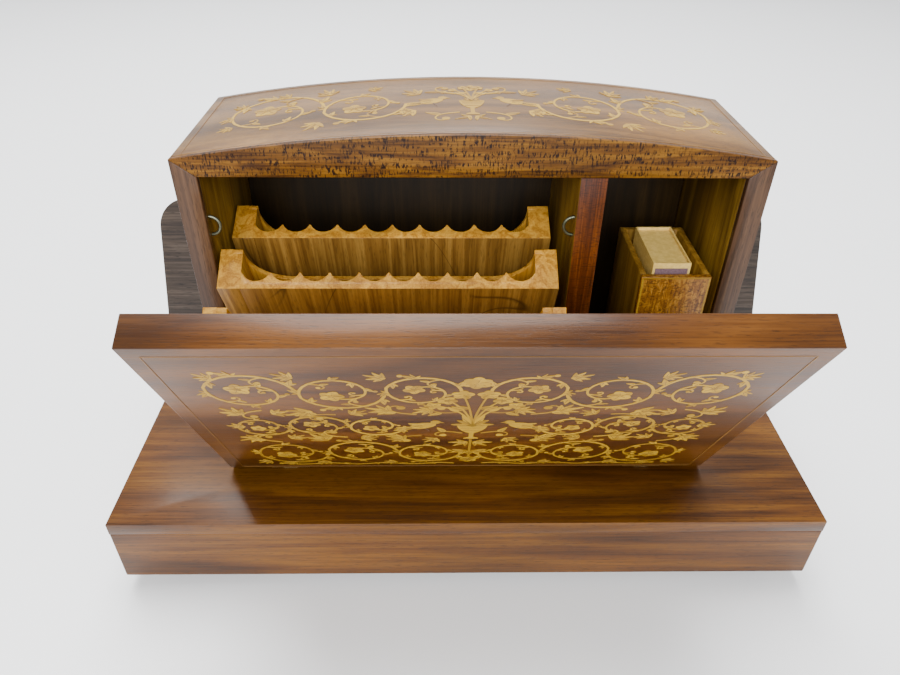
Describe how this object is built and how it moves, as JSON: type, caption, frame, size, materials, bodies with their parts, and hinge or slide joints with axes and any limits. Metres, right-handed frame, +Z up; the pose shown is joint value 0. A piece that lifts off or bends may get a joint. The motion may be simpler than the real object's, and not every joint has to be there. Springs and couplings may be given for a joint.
{
  "type": "musical cigarette box",
  "caption": "Arched marquetry musical box on a wide base: a fall front swings fluted cigarette trays forward beside a match holder and frees a cylinder movement.",
  "frame": {"origin": "centre of the bounding box's lowest face, on the floor between the feet, with the door open", "axes": "+X to the right along the width, +Y from the door to the rear board, +Z up"},
  "size_m": [0.259, 0.1496, 0.1595],
  "materials": {
    "walnut": "oiled satin walnut with horizontal grain",
    "rosewood": "dark red-brown crossbanded veneer, gloss",
    "fascia_veneer": "orange-brown crossbanded veneer, satin",
    "stile_veneer": "purplish brown veneer, satin",
    "lining": "olive-brown stained softwood, matt",
    "marquetry": "walnut ground with light maple arabesque inlay, gloss",
    "tray_face": "figured olive-brown veneer on a yellow softwood core",
    "tray_core": "yellow softwood, plain",
    "stained_board": "near-black stained ply, dull",
    "ebonised": "black turned wood",
    "board": "plain plywood",
    "holder_veneer": "speckled crossbanded veneer",
    "card": "printed card, plain, without any lettering",
    "brass": "polished, slightly tarnished",
    "steel": "bright nickel-plated steel",
    "spring_steel": "blued spring steel"
  },
  "bodies": {
    "case": {"base_front_rail": "walnut", "base_rear_rail": "walnut", "base_side_rails": "walnut", "base_top_board": "walnut", "base_bottom_board": "board", "bottom_screws": "steel", "feet": "ebonised", "side_wall_left": "walnut", "side_wall_right": "walnut", "divider": "rosewood", "back_panel": "lining", "roof": "marquetry", "fascia": "fascia_veneer", "front_stiles": "stile_veneer", "bay_front": "lining", "tray_shelf": "lining", "rear_board": "stained_board", "wall_eyes": "steel", "hinge_brackets": "brass", "hinge_screws": "brass", "match_holder": "lining", "match_holder_front": "holder_veneer", "bedplate": "steel", "movement_screws": "steel", "barrel_bridge": "steel", "comb": "spring_steel", "comb_block": "steel", "comb_screws": "steel", "governor_frame": "steel"},
    "door": {"door_panel": "marquetry", "hinge_pins": "brass", "door_posts": "brass"},
    "tray_1": {"tray_front_1": "tray_face", "tray_ends_1": "tray_core", "tray_back_1": "lining", "tray_floor_1": "lining", "tray_pins_1": "steel"},
    "tray_2": {"tray_front_2": "tray_face", "tray_ends_2": "tray_core", "tray_back_2": "lining", "tray_floor_2": "lining", "tray_pins_2": "steel"},
    "tray_3": {"tray_front_3": "tray_face", "tray_ends_3": "tray_core", "tray_back_3": "lining", "tray_floor_3": "lining", "tray_pins_3": "steel"},
    "links_12": {"links_12": "steel"},
    "links_23": {"links_23": "steel"},
    "door_links": {"door_links": "steel"},
    "stop_plunger": {"stop_plunger": "brass"},
    "cylinder": {"pinned_cylinder": "brass"},
    "barrel": {"barrel": "brass", "mainspring": "spring_steel"},
    "gear_arbor": {"gear_arbor": "brass"},
    "governor": {"governor_worm": "steel"},
    "winder": {"winding_arbor": "steel", "winding_key": "brass"},
    "matchbox": {"matchbox_sleeve": "card"},
    "match_drawer": {"matchbox_drawer": "card"}
  },
  "joints": [
    {"name": "door_hinge", "type": "hinge", "parent": "case", "child": "door", "pos_m": [0, -0.02054, 0.0392], "axis": [-1, 0, 0], "range_deg": [0, 28.5]},
    {"name": "tray_1_tilt", "type": "hinge", "parent": "case", "child": "tray_1", "pos_m": [-0.02605, 0.03201, 0.0563], "axis": [-1, 0, 0], "range_deg": [0, 16.82]},
    {"name": "tray_2_tilt", "type": "hinge", "parent": "case", "child": "tray_2", "pos_m": [-0.02605, 0.01681, 0.0563], "axis": [-1, 0, 0], "range_deg": [0, 25.08]},
    {"name": "tray_3_tilt", "type": "hinge", "parent": "case", "child": "tray_3", "pos_m": [-0.02605, 0.00161, 0.0563], "axis": [-1, 0, 0], "range_deg": [0, 34.4]},
    {"name": "links_12_swing", "type": "hinge", "parent": "tray_1", "child": "links_12", "pos_m": [-0.02605, 0.02182, 0.0762], "axis": [-1, 0, 0], "range_deg": [-11, 0]},
    {"name": "links_23_swing", "type": "hinge", "parent": "tray_2", "child": "links_23", "pos_m": [-0.02605, 0.00005, 0.08268], "axis": [-1, 0, 0], "range_deg": [-14.9, 0]},
    {"name": "door_links_swing", "type": "hinge", "parent": "door", "child": "door_links", "pos_m": [-0.02605, -0.03377, 0.07981], "axis": [-1, 0, 0], "range_deg": [-16.5, 0]},
    {"name": "stop_plunger_slide", "type": "slide", "parent": "case", "child": "stop_plunger", "axis": [0, 0, 1], "range_m": [0, 0.0055]},
    {"name": "cylinder_spin", "type": "hinge", "parent": "case", "child": "cylinder", "pos_m": [0, 0.01681, 0.0275], "axis": [1, 0, 0], "continuous": true},
    {"name": "barrel_spin", "type": "hinge", "parent": "case", "child": "barrel", "pos_m": [-0.04705, 0.01681, 0.0215], "axis": [0, 0, 1], "continuous": true},
    {"name": "gear_arbor_spin", "type": "hinge", "parent": "case", "child": "gear_arbor", "pos_m": [0.00595, 0.00716, 0.0275], "axis": [1, 0, 0], "continuous": true},
    {"name": "governor_spin", "type": "hinge", "parent": "case", "child": "governor", "pos_m": [0.00595, 0.00226, 0.0275], "axis": [0, 0, 1], "continuous": true},
    {"name": "winding_key_turn", "type": "hinge", "parent": "case", "child": "winder", "pos_m": [-0.04705, 0.01681, 0.011], "axis": [0, 0, 1], "continuous": true},
    {"name": "matchbox_lift", "type": "slide", "parent": "case", "child": "matchbox", "axis": [0, 0, 1], "range_m": [0, 0.012]},
    {"name": "match_drawer_slide", "type": "slide", "parent": "matchbox", "child": "match_drawer", "axis": [0, 0, 1], "range_m": [0, 0.018]}
  ],
  "couplings": [
    {"joint": "tray_1_tilt", "follows": "door_hinge", "ratio": 0.59},
    {"joint": "tray_2_tilt", "follows": "door_hinge", "ratio": 0.88},
    {"joint": "tray_3_tilt", "follows": "door_hinge", "ratio": 1.207},
    {"joint": "links_12_swing", "follows": "door_hinge", "ratio": -0.38003},
    {"joint": "links_23_swing", "follows": "door_hinge", "ratio": -0.51607},
    {"joint": "door_links_swing", "follows": "door_hinge", "ratio": -0.57342},
    {"joint": "stop_plunger_slide", "follows": "door_hinge", "m_per_rad": 0.011057},
    {"joint": "barrel_spin", "follows": "cylinder_spin", "ratio": 0.3},
    {"joint": "gear_arbor_spin", "follows": "cylinder_spin", "ratio": -3},
    {"joint": "governor_spin", "follows": "cylinder_spin", "ratio": -48}
  ]
}
